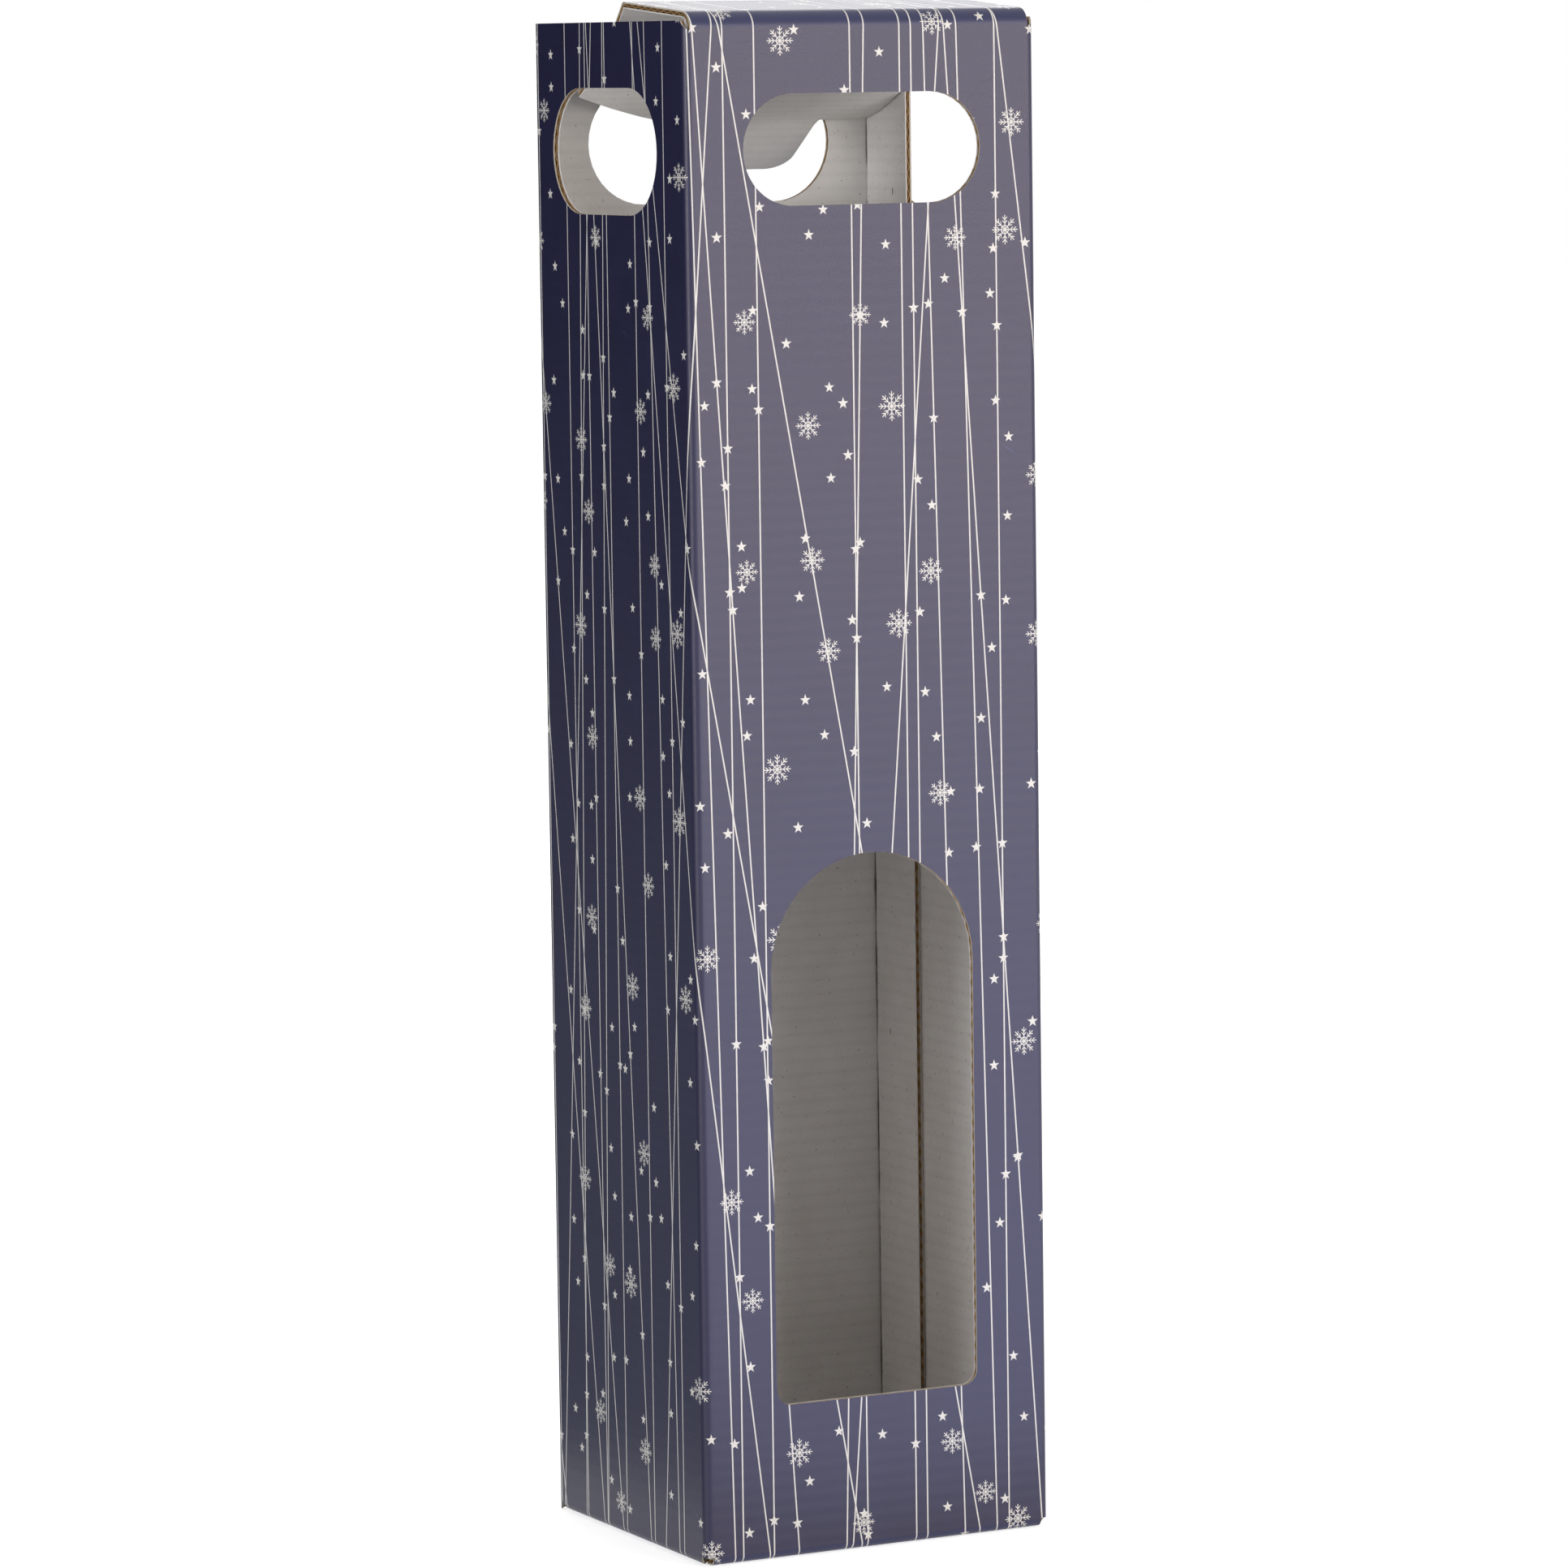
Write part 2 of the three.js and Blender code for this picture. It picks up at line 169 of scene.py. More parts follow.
def holed_wall(left, right, foot, top, holes, strips):
    """Grids of a wall: a ring round each hole, plain bands between, and plain strips of columns beside.
    The strips have a row wherever a ring or a band has one."""
    grids, rows, columns = [], [foot], np.linspace(left, right, hole_steps + 1)
    for sides, low, high in holes:
        grids += [plain(columns, [rows[-1], low]), pierced(sides, left, low, right, high)]
        rows.extend(np.linspace(low, high, hole_steps + 1))
    grids.append(plain(columns, [rows[-1], top]))
    rows.append(top)
    return grids + [plain(strip, rows) for strip in strips]


def linear(code):
    """Linear colour of an sRGB hex code: c / 12.92 up to 0.04045, and above it ((c + 0.055) / 1.055) to
    the power 2.4."""
    srgb = np.array([int(code[k:k + 2], 16) for k in (1, 3, 5)]) / 255
    return (*np.where(srgb <= 0.04045, srgb / 12.92, ((srgb + 0.055) / 1.055) ** 2.4).tolist(), 1.0)


def add(tree, kind, *inputs, **settings):
    """Adds one node. Inputs fill its open sockets in order, lower-case settings are its properties, and
    capitalised ones are sockets by name. Returns its first open output."""
    node = tree.nodes.new("ShaderNode" + kind)
    for name, value in settings.items():
        if name[0].islower():
            setattr(node, name, value)
    sockets = list(zip([socket for socket in node.inputs if socket.enabled], inputs))
    sockets += [(node.inputs[name.replace("_", " ")], value)
                for name, value in settings.items() if name[0].isupper()]
    for socket, value in sockets:
        if isinstance(value, bpy.types.NodeSocket):
            tree.links.new(value, socket)
        else:
            socket.default_value = value
    return next(socket for socket in node.outputs if socket.enabled)


def finish(name):
    """A new node material, its tree and its Principled shader."""
    material = bpy.data.materials.new(name)
    material.use_nodes = True
    return material, material.node_tree, material.node_tree.nodes["Principled BSDF"]


# Litho print under matt varnish: a soft broad sheen with a faint rosy cast, the flutes faintly felt
# through the paper, and a few fine scuffs. Along the folded creases of the lid and base the ink is
# lightened, partly as wear and partly as a painted highlight. Its grain is drawn coarser than the
# paper's own, to show.
ink_colour, mottle_colour, wear_and_crease_highlight_colour, bare_colour = "#1C1C3D", "#1F2042", "#3C4470", "#E9E6E2"
sheen_colour = "#FFF8F8"
flute_pitch = 3.5
line_breadth, edge_softness = 0.36, 0.05
star_reach, star_waist = 1.5, 0.62
flake_reach, arm_half = 3.7, 0.12
barb_roots, barb_length, barb_half = (1.6, 2.5), 0.68, 0.15
ring_radius, ring_half = 1.0, 0.12
mottle_size, grain_size = 18.0, 0.45
scuff_length, scuff_breadth, scuff_lean = 2.6, 0.3, 0.6
scuff_chance, scuff_wear, crease_highlight_share = 0.00012, 0.6, 0.35
smooth, rough = 0.36, 0.46
noise_low, noise_high = 0.3, 0.7
washboard_depth, grain_share = 0.008, 0.5
litho, ink, litho_shader = finish("litho_print_under_matt_varnish")
blank = add(ink, "UVMap", uv_map="blank")


def star(across, up):
    """Mask of a five-pointed star: folded to a tenth of a turn, it ends at the line from point to waist."""
    notch = star_waist * np.array([math.cos(math.pi / 5), math.sin(math.pi / 5)])
    normal = np.array([notch[1], star_reach - notch[0]]) / math.hypot(notch[1], star_reach - notch[0])
    lean, limit = math.atan2(normal[1], normal[0]), star_reach * normal[0]
    reach = add(ink, "VectorMath", add(ink, "CombineXYZ", across, up, 0.0), operation="LENGTH")
    turn = add(ink, "Math", add(ink, "Math", up, across, operation="ARCTAN2"), quarter_turn,
               operation="SUBTRACT")
    fold = add(ink, "Math", turn, math.pi / 5, operation="PINGPONG")
    slant = add(ink, "Math", add(ink, "Math", fold, lean, operation="SUBTRACT"), operation="COSINE")
    edge = add(ink, "Math", reach, slant, operation="MULTIPLY")
    return add(ink, "MapRange", edge, limit - edge_softness, limit + edge_softness, 1.0, 0.0)


def flake(across, up):
    """Mask of an eight-armed snow crystal: folded to a sixteenth of a turn, it is an arm, two barbs and
    a ring."""
    reach = add(ink, "VectorMath", add(ink, "CombineXYZ", across, up, 0.0), operation="LENGTH")
    fold = add(ink, "Math", add(ink, "Math", up, across, operation="ARCTAN2"), math.pi / 8,
               operation="PINGPONG")
    out = add(ink, "Math", reach, add(ink, "Math", fold, operation="COSINE"), operation="MULTIPLY")
    side = add(ink, "Math", reach, add(ink, "Math", fold, operation="SINE"), operation="MULTIPLY")
    nearest = add(ink, "Math", add(ink, "Math", side, arm_half, operation="SUBTRACT"),
                  add(ink, "Math", reach, flake_reach, operation="SUBTRACT"), operation="MAXIMUM")
    lines = []
    for root in barb_roots:
        offset = add(ink, "Math", add(ink, "Math", out, side, operation="SUBTRACT"), root,
                     operation="SUBTRACT")
        stroke = add(ink, "Math", add(ink, "Math", offset, operation="ABSOLUTE"), barb_half,
                     operation="SUBTRACT")
        lines.append(add(ink, "Math", stroke, add(ink, "Math", side, barb_length, operation="SUBTRACT"),
                         operation="MAXIMUM"))
    ring = add(ink, "Math", add(ink, "Math", reach, ring_radius, operation="SUBTRACT"), operation="ABSOLUTE")
    lines.append(add(ink, "Math", ring, ring_half, operation="SUBTRACT"))
    for line in lines:
        nearest = add(ink, "Math", nearest, line, operation="MINIMUM")
    return add(ink, "MapRange", nearest, -edge_softness, edge_softness, 1.0, 0.0)


# The pattern, from cells on the blank: strings as families of straight lines at a few slants, with
# stars threaded on some, and loose stars and snow crystals in the cells between. A family is its
# slant in degrees, its spacing, a shift in cells, and the spacing of its stars, if it has any.
string_families = (
    (0.0, 15.0, 3.1, 120.0), (1.1, 46.0, 17.3, 0.0), (-1.5, 60.0, 5.7, 90.0), (3.6, 62.0, 31.9, 80.0),
    (-4.4, 84.0, 12.2, 0.0), (7.0, 66.0, 64.5, 0.0), (10.2, 80.0, 90.8, 0.0))
star_shuffle = 9.0
white_parts = []
for slant, spacing, shift, star_spacing in string_families:
    slope = np.array([math.cos(math.radians(slant)), math.sin(math.radians(slant))])
    across = add(ink, "Math", add(ink, "VectorMath", blank, (*slope / spacing, 0.0),
                                  operation="DOT_PRODUCT"), shift, operation="ADD")
    nearest = add(ink, "TexVoronoi", W=across, Scale=1.0, Randomness=1.0, voronoi_dimensions="1D")
    thin = (line_breadth / 2 - edge_softness) / spacing, (line_breadth / 2 + edge_softness) / spacing
    white_parts.append(add(ink, "MapRange", nearest, *thin, 1.0, 0.0))
    if star_spacing:
        seed = nearest.node.outputs["W"]
        beside = add(ink, "Math", add(ink, "Math", across, seed, operation="SUBTRACT"), spacing,
                     operation="MULTIPLY")
        start = add(ink, "Math", add(ink, "TexWhiteNoise", W=seed, noise_dimensions="1D"), star_shuffle,
                    operation="MULTIPLY")
        upward = (-slope[1] / star_spacing, slope[0] / star_spacing, 0.0)
        run = add(ink, "Math", add(ink, "VectorMath", blank, upward, operation="DOT_PRODUCT"), start,
                  operation="ADD")
        bead = add(ink, "TexVoronoi", W=run, Scale=1.0, Randomness=0.9, voronoi_dimensions="1D")
        up = add(ink, "Math", add(ink, "Math", run, bead.node.outputs["W"], operation="SUBTRACT"),
                 star_spacing, operation="MULTIPLY")
        white_parts.append(star(beside, up))

# Loose motifs: each with its cell, a shift in cells, and how many times smaller its smallest is drawn.
for motif, cell, shift, smallest in ((star, 17.0, (0.37, 0.61, 0.0), 1.08),
                                     (flake, 31.0, (0.83, 0.29, 0.0), 1.25)):
    cells = add(ink, "VectorMath", add(ink, "VectorMath", blank, (1 / cell, 1 / cell, 0.0),
                                       operation="MULTIPLY"), shift, operation="ADD")
    seeds = add(ink, "TexVoronoi", Vector=cells, Scale=1.0, Randomness=0.8,
                voronoi_dimensions="2D").node.outputs
    spread = add(ink, "MapRange", add(ink, "SeparateColor", seeds["Color"]), 0.0, 1.0, cell, cell * smallest)
    offset = add(ink, "SeparateXYZ", add(ink, "VectorMath", add(
        ink, "VectorMath", cells, seeds["Position"], operation="SUBTRACT"), Scale=spread, operation="SCALE"))
    white_parts.append(motif(offset, offset.node.outputs["Y"]))
white = white_parts[0]
for part in white_parts[1:]:
    white = add(ink, "Math", white, part, operation="MAXIMUM")

height = add(ink, "SeparateXYZ", blank).node.outputs["Y"]
mottle = add(ink, "TexNoise", Vector=blank, Scale=1 / mottle_size, Detail=4.0, Roughness=0.6,
             noise_dimensions="2D")
grain = add(ink, "TexNoise", Vector=blank, Scale=1 / grain_size, Detail=2.0, Roughness=0.5,
            noise_dimensions="2D")
fold_line = add(ink, "Attribute", attribute_name="fold").node.outputs["Fac"]
deep = add(ink, "Mix", add(ink, "MapRange", mottle, noise_low, noise_high, 0.0, 1.0),
           linear(ink_colour), linear(mottle_colour), data_type="RGBA")
streaks = add(ink, "VectorMath", add(ink, "VectorRotate", blank, Angle=scuff_lean),
              (1 / scuff_length, 1 / scuff_breadth, 0.0), operation="MULTIPLY")
streak = add(ink, "TexVoronoi", Vector=streaks, Scale=1.0, voronoi_dimensions="2D")
chance = add(ink, "SeparateColor", streak.node.outputs["Color"])
scuff = add(ink, "Math", add(ink, "Math", chance, 1 - scuff_chance, operation="GREATER_THAN"), scuff_wear,
            operation="MULTIPLY")
# Scuffs are real wear. Along the creases the lighter ink is partly wear and partly a painted highlight.
wear_and_highlight = add(ink, "Math", add(ink, "Math", fold_line, crease_highlight_share, operation="MULTIPLY"), scuff,
           operation="MAXIMUM")
worn_and_highlighted = add(ink, "Mix", wear_and_highlight, deep, linear(wear_and_crease_highlight_colour), data_type="RGBA")
printed_colour = add(ink, "Mix", white, worn_and_highlighted, linear(bare_colour), data_type="RGBA")
washboard = add(ink, "Math", add(ink, "Math", height, 2 * math.pi / flute_pitch, operation="MULTIPLY"),
                operation="SINE")
relief = add(ink, "Math", washboard, add(ink, "Math", grain, grain_share, operation="MULTIPLY"),
             operation="ADD")
ink.links.new(printed_colour, litho_shader.inputs["Base Color"])
ink.links.new(add(ink, "MapRange", grain, noise_low, noise_high, smooth, rough),
              litho_shader.inputs["Roughness"])
ink.links.new(add(ink, "Bump", Strength=1.0, Distance=washboard_depth * millimetre, Height=relief),
              litho_shader.inputs["Normal"])
litho_shader.inputs["IOR"].default_value = 1.5
litho_shader.inputs["Specular Tint"].default_value = linear(sheen_colour)

# Reverse and cut edge of the printed paper: uncoated, slightly yellow, with loose fibres.
pulp_fibre = 0.6
cut_paper, pulp, pulp_shader = finish("cut_edge_of_bleached_paper")
fibre = add(pulp, "TexNoise", Vector=add(pulp, "TexCoord").node.outputs["Object"],
            Scale=1 / (pulp_fibre * millimetre), Detail=3.0)
pulp.links.new(add(pulp, "Mix", fibre, linear("#B9AC98"), linear("#DCD5C8"), data_type="RGBA"),
               pulp_shader.inputs["Base Color"])
pulp_shader.inputs["Roughness"].default_value = 0.9


def paper(name, grids, place, bend=None, thickness=liner_thickness, finishes=(litho, cut_paper)):
    """One sheet of paper. Grids hold points (u, v) of the flat blank in millimetres, place folds them to
    x, y, z, each cell is a face, and points that grids share are merged. Bend gives each point's share of
    a crease. The sheet gets its thickness inwards, and its cut edge stays sharp."""
    flat = np.concatenate([grid.reshape(-1, 2) for grid in grids])
    starts = np.cumsum([0] + [grid.shape[0] * grid.shape[1] for grid in grids])
    cells = []
    for grid, start in zip(grids, starts):
        index = start + np.arange(grid.shape[0] * grid.shape[1]).reshape(grid.shape[:2])
        corners = [index[:-1, :-1], index[:-1, 1:], index[1:, 1:], index[1:, :-1]]
        cells.append(np.stack(corners, axis=-1).reshape(-1, 4))
    merged, which = np.unique(np.round(flat, 4), axis=0, return_inverse=True)
    faces = which.ravel()[np.concatenate(cells)]
    mesh = bpy.data.meshes.new(name)
    mesh.from_pydata((place(merged[:, 0], merged[:, 1]) * millimetre).tolist(), [], faces.tolist())
    mesh.polygons.foreach_set("use_smooth", np.ones(len(faces), bool))
    corner_points = np.empty(len(mesh.loops), np.int32)
    mesh.loops.foreach_get("vertex_index", corner_points)
    mapped = merged[corner_points].astype(np.float32)
    mesh.uv_layers.new(name="blank").uv.foreach_set("vector", mapped.ravel())
    share = np.zeros(len(merged)) if bend is None else bend(merged[:, 0], merged[:, 1])
    mesh.attributes.new("fold", "FLOAT", "POINT").data.foreach_set("value", share.astype(np.float32))
    ends = np.stack([faces, np.roll(faces, -1, axis=1)], axis=-1).reshape(-1, 2)
    codes, uses = np.unique(np.sort(ends, axis=1) @ [len(merged), 1], return_counts=True)
    edges = np.empty(2 * len(mesh.edges), np.int32)
    mesh.edges.foreach_get("vertices", edges)
    rim = np.isin(np.sort(edges.reshape(-1, 2), axis=1) @ [len(merged), 1], codes[uses == 1])
    mesh.attributes.new("sharp_edge", "BOOLEAN", "EDGE").data.foreach_set("value", rim)
    for material in finishes:
        mesh.materials.append(material)
    piece = bpy.data.objects.new(name, mesh)
    bpy.context.scene.collection.objects.link(piece)
    solid = piece.modifiers.new("thickness", "SOLIDIFY")
    solid.thickness, solid.offset = thickness * millimetre, -1.0
    solid.material_offset = solid.material_offset_rim = len(finishes) - 1
    return piece


# At each front corner the liner's top rises to the side wall, as the square of the way round.
tip_start = 0.02
corner_length = crease_radius * quarter_turn
corner_columns = flat_half + np.r_[-crease_margin, np.linspace(0, corner_length, crease_steps + 1)]
corner_rise = np.linspace(tip_start, 1, crease_steps + 1) ** 2 * (wall_top - front_top)
corner_tip = np.stack([np.tile(corner_columns[1:], (2, 1)),
                       front_top + np.stack([0 * corner_rise, corner_rise])], axis=-1)
window = arched(window_breadth, window_foot, window_height, window_corner)
front_hole = round_ended(0.0, wall_top - front_hole_drop, front_hole_length, front_hole_breadth)
front_print = paper(
    "front_wall_print",
    holed_wall(crease_margin - flat_half, flat_half - crease_margin, front_foot, front_top,
               [(window, *window_band), (front_hole, *front_hole_band)],
               [-corner_columns[::-1], corner_columns])
    + [corner_tip, corner_tip[:, ::-1] * [-1, 1]], standing)
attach(front_print, "carton")
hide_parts("front_wall_printed_liner")

# Right wall, printed liner. The same sheet past the front right corner, ending at the back in a cut
# edge that lies over the glue flap. The flap shows in the rear end of its hand hole.
side_foot = corners_of("right_wall_printed_liner")[0][2]
side_hole_drop, side_hole_setback = 31.5, 15.5
side_hole_length, side_hole_breadth = 58.0, 31.0
side_hole_band = (322.0, 367.0)
side_start = flat_half + corner_length
side_hole_height = wall_top - side_hole_drop
side_hole_middle = side_start - crease_radius + side_hole_setback + side_hole_length / 2
right_hole = round_ended(side_hole_middle, side_hole_height, side_hole_length, side_hole_breadth)
right_end = side_start + side_run + crease_radius
right_print = paper(
    "right_wall_print",
    holed_wall(side_start, right_end, side_foot, wall_top, [(right_hole, *side_hole_band)], []), standing)
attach(right_print, "carton")
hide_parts("right_wall_printed_liner")

# Left wall, printed liner. The same sheet past the front left corner, on to the back wall, with a
# hand hole at the same place as the right one.
left_hole = round_ended(-side_hole_middle, side_hole_height, side_hole_length, side_hole_breadth)
left_end = -side_start - side_run
left_print = paper(
    "left_wall_print",
    holed_wall(left_end, -side_start, side_foot, wall_top, [(left_hole, *side_hole_band)], []), standing)
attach(left_print, "carton")
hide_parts("left_wall_printed_liner")

# Back wall, printed liner. It is creased round the back left corner, and at its other side into the
# glue flap. The lid's tongue comes out through its hand hole.
back_hole_height, back_hole_length, back_hole_breadth = 345.7, 68.0, 30.6
back_hole_band = (322.0, 368.0)
back_start = left_end - corner_length
back_end = left_round[-1 - crease_steps, 0]
back_middle = back_start - flat_half
back_hole = round_ended(back_middle, back_hole_height, back_hole_length, back_hole_breadth)
back_print = paper(
    "back_wall_print",
    holed_wall(back_end + crease_margin, back_start - crease_margin, 0.0, wall_top,
               [(back_hole, *back_hole_band)],
               [back_start + np.r_[-crease_margin, np.linspace(0, corner_length, crease_steps + 1)],
                back_end - np.r_[np.linspace(corner_length, 0, crease_steps + 1), -crease_margin]]),
    standing)
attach(back_print, "carton")
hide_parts("back_wall_printed_liner")

# Fluting of the walls and the glue flap: brown recycled paper pressed into waves, seen end on at
# every cut edge and in the holes. It is matt, and its fibres are drawn coarser than real, to show.
kraft_fibre, fibre_relief = 1.2, 0.05
kraft, brown, brown_shader = finish("brown_fluting_paper")
brown_place = add(brown, "TexCoord").node.outputs["Object"]
brown_fibre = add(brown, "TexNoise", Vector=brown_place, Scale=1 / (kraft_fibre * millimetre), Detail=4.0,
                  Roughness=0.7)
brown.links.new(add(brown, "Mix", brown_fibre, linear("#86602F"), linear("#C9A068"), data_type="RGBA"),
                brown_shader.inputs["Base Color"])
brown_shader.inputs["Roughness"].default_value = 0.92
brown.links.new(add(brown, "Bump", Strength=0.6, Distance=fibre_relief * millimetre, Height=brown_fibre),
                brown_shader.inputs["Normal"])


def cover(node, material):
    """Gives a solid of the frame a finish in place of its plain one."""
    frame["nodes"][node].data.materials.clear()
    frame["nodes"][node].data.materials.append(material)


wall_panels = ("front_wall", "right_wall", "back_wall", "left_wall", "glue_flap")
for panel in wall_panels:
    cover(panel + "_fluting", kraft)

# Inner liners: uncoated grey-white recycled paper. The flutes' ripples are painted as faint darker
# level bands of shade, dark specks and fibres lie in the pulp, and a dark line of painted shade runs
# down the crease beside the glue flap.
# Two nicks on the glue flap, painted as small dark marks of shade, are given by their way in from
# the crease and their height.
board = 1.6
glue_low, glue_high = corners_of("glue_flap_printed_liner")
cloud_size, speck_size, crease_shade_wander = 12.0, 0.9, 20.0
pale_liner, white_liner, flute_shade_colour = "#E8E5E2", "#F0EEEC", "#A9A29D"
speck_colour, crease_and_nick_shade_colour = "#8D857E", "#3A332C"
flute_shade_strength, band_relief, cloud_share = 0.07, 0.01, 1.5
speck_ramp, crease_shade_ramp, nick_shade_ramp = (0.66, 0.74, 0.0, 0.5), (-0.4, -0.1, 0.9, 0.0), (0.4, 0.7, 0.85, 0.0)
nicks = ((13.7, 332.5), (7.0, 116.4))
nick_squeeze = (1.0, 2.4, 0.6)


def recycled(name, uv_map=None):
    """Grey-white recycled paper. It is laid out on the flat blank where there is a map, and else by
    height. The flutes' bands, the sine of the height over their pitch, darken it as painted shade and
    raise its bump."""
    material, grey, shader = finish(name)
    place = (add(grey, "UVMap", uv_map=uv_map) if uv_map else
             add(grey, "VectorMath", add(grey, "TexCoord").node.outputs["Object"], Scale=1 / millimetre,
                 operation="SCALE"))
    axes = add(grey, "SeparateXYZ", place).node.outputs
    cloud = add(grey, "TexNoise", Vector=place, Scale=1 / cloud_size, Detail=5.0, Roughness=0.65)
    speck = add(grey, "TexNoise", Vector=place, Scale=1 / speck_size, Detail=2.0)
    band = add(grey, "Math", add(grey, "Math", axes["Y" if uv_map else "Z"], 2 * math.pi / flute_pitch,
                                 operation="MULTIPLY"), operation="SINE")
    clouded = add(grey, "Mix", add(grey, "MapRange", cloud, noise_low, noise_high, 0.0, 1.0),
                  linear(pale_liner), linear(white_liner), data_type="RGBA")
    # Painted shade: faint darker level bands where the flutes ripple the paper.
    flute_shaded = add(grey, "Mix", add(grey, "MapRange", band, 0.0, 1.0, 0.0, flute_shade_strength), clouded,
                 linear(flute_shade_colour), data_type="RGBA")
    colour = add(grey, "Mix", add(grey, "MapRange", speck, *speck_ramp), flute_shaded, linear(speck_colour),
                 data_type="RGBA")
    if not uv_map:
        # Painted shade: a dark wavering line in the inner crease beside the glue flap, then the two nicks.
        wander = add(grey, "TexNoise", axes["Z"], noise_dimensions="1D", Scale=1 / crease_shade_wander, Detail=4.0)
        corner = add(grey, "VectorMath", add(grey, "CombineXYZ", axes["X"], axes["Y"], 0.0),
                     (glue_high[0] - board, glue_high[1], 0.0), operation="DISTANCE")
        painted_shade_marks = add(grey, "MapRange", add(grey, "Math", corner, wander, operation="SUBTRACT"), *crease_shade_ramp)
        for inward, level in nicks:
            nick = (glue_high[0] - board, glue_high[1] - inward, level)
            away = add(grey, "VectorMath", add(grey, "VectorMath", place, nick, operation="SUBTRACT"),
                       nick_squeeze, operation="MULTIPLY")
            nick_shade = add(grey, "MapRange", add(grey, "VectorMath", away, operation="LENGTH"), *nick_shade_ramp)
            painted_shade_marks = add(grey, "Math", painted_shade_marks, nick_shade, operation="MAXIMUM")
        colour = add(grey, "Mix", painted_shade_marks, colour, linear(crease_and_nick_shade_colour), data_type="RGBA")
    grey.links.new(colour, shader.inputs["Base Color"])
    shader.inputs["Roughness"].default_value = 0.9
    relief = add(grey, "Math", band, add(grey, "Math", cloud, cloud_share, operation="MULTIPLY"),
                 operation="ADD")
    grey.links.new(add(grey, "Bump", Strength=1.0, Distance=band_relief * millimetre, Height=relief),
                   shader.inputs["Normal"])
    return material


lining = recycled("grey_white_recycled_liner")
for panel in wall_panels:
    cover(panel + "_inner_liner", lining)

# Glue flap and its seam: the flap's printed face is stuck to the inside of the right wall with a
# line of white packaging glue that has dried clear and slightly yellow.
glue_bubble = 2.0
glue, glue_tree, glue_shader = finish("dried_dispersion_glue")
glue_cloud = add(glue_tree, "TexNoise", Vector=add(glue_tree, "TexCoord").node.outputs["Object"],
                 Scale=1 / (glue_bubble * millimetre), Detail=3.0)
glue_tree.links.new(add(glue_tree, "Mix", glue_cloud, linear("#D9CDAA"), linear("#EFE8D2"), data_type="RGBA"),
                    glue_shader.inputs["Base Color"])
glue_shader.inputs["Roughness"].default_value = 0.35
cover("seam_glue", glue)
flap_start = left_round[-1, 0]
glue_breadth, glue_taper = glue_high[1] - glue_low[1], 9.0
glue_columns, glue_rows = 7, 9


def glued_flap(u, v):
    """The strip runs forward from the back crease, flat inside the right wall."""
    return np.stack([np.full_like(u, glue_high[0]), (u - flap_start) + glue_high[1], v], axis=-1)


flap_columns = flap_start - np.linspace(glue_breadth, 0, glue_columns)
flap_drop = glue_taper * (flap_start - flap_columns) / glue_breadth
flap_foot, flap_head = glue_low[2] + flap_drop, glue_high[2] - flap_drop
flap_grid = np.stack([np.tile(flap_columns, (glue_rows, 1)),
                      flap_foot + np.linspace(0, 1, glue_rows)[:, None] * (flap_head - flap_foot)], axis=-1)
glue_flap_print = paper("glue_flap_print", [flap_grid], glued_flap)
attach(glue_flap_print, "carton")
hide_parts("glue_flap_printed_liner")

# Lid top: the front wall's board carried on past a broad crease, with all three plies bent. Its cut
# side edges show the brown waves between the two liners. Its path runs on over the lid flap, which
# leaves the rear crease steeply, flattens in a bow to the back wall, and bends down into its tongue.
hinges = {joint["name"]: joint for joint in frame["record"]["behaviour"]["joints"]}
lid_corner = np.array(hinges["lid_lift"]["pos_m"][1:]) / millimetre
lid_half = corners_of("lid_top_printed_liner")[1][0]
lid_tilt = math.radians(4.5)
lid_crease_radius, lid_depth = 4.5, 36.5
lid_bend = quarter_turn - lid_tilt
lid_setback = lid_crease_radius * math.tan(lid_bend / 2)
flap_slope, flap_landing, tongue_slope = (math.radians(angle) for angle in (52.44, 12.0, 34.0))
flap_bow, tongue_bow = 75.61, 10.0
slope_length, tongue_length = flap_bow * (flap_slope - flap_landing), 24.0
tongue_bend = tongue_slope - flap_landing
glue_film, flute_paper, inner_liner = 0.05, 0.22, 0.3
flute_middle, flute_swing, crease_press = 0.29, 0.26, 0.6
crease_turn = 0.15
wave_steps = 10
lid_path = creased(
    (front_face, front_top), quarter_turn, -1,
    [(lid_corner[1] - lid_setback - front_top, 0), (lid_crease_radius, lid_bend),
     (lid_depth - lid_setback, 0), (board, lid_tilt + flap_slope), (-flap_bow, flap_landing - flap_slope),
     (tongue_bow, tongue_bend), (tongue_length - tongue_bow * tongue_bend, 0)])
lid_path[:, 0] += front_top


def crease_share(path):
    """Share of a crease at a distance along a path: 1 where its normal turns by more than crease_turn per
    millimetre, and 0 elsewhere."""
    turning = np.hypot(np.diff(path[:, 3]), np.diff(path[:, 4])) > crease_turn * np.abs(np.diff(path[:, 0]))
    share = np.r_[False, turning] & np.r_[turning, False]
    return lambda distance: np.interp(distance, path[:, 0], share.astype(float))


lid_crease = crease_share(lid_path)
lid_breaks = lid_path[:, 0]
lid_crease_end = lid_breaks[1 + crease_steps]
lid_end = lid_breaks[2 + crease_steps]
flap_begin = lid_breaks[2 + 2 * crease_steps]


def over_lid(depth=0.0):
    """Folds the blank over the lid at a depth below the printed face: u lies along x, and v runs up the
    front and back."""
    def fold(u, v):
        y, z = along(lid_path, v, depth(v) if callable(depth) else depth)
        return np.stack([u, y, z], axis=-1)
    return fold


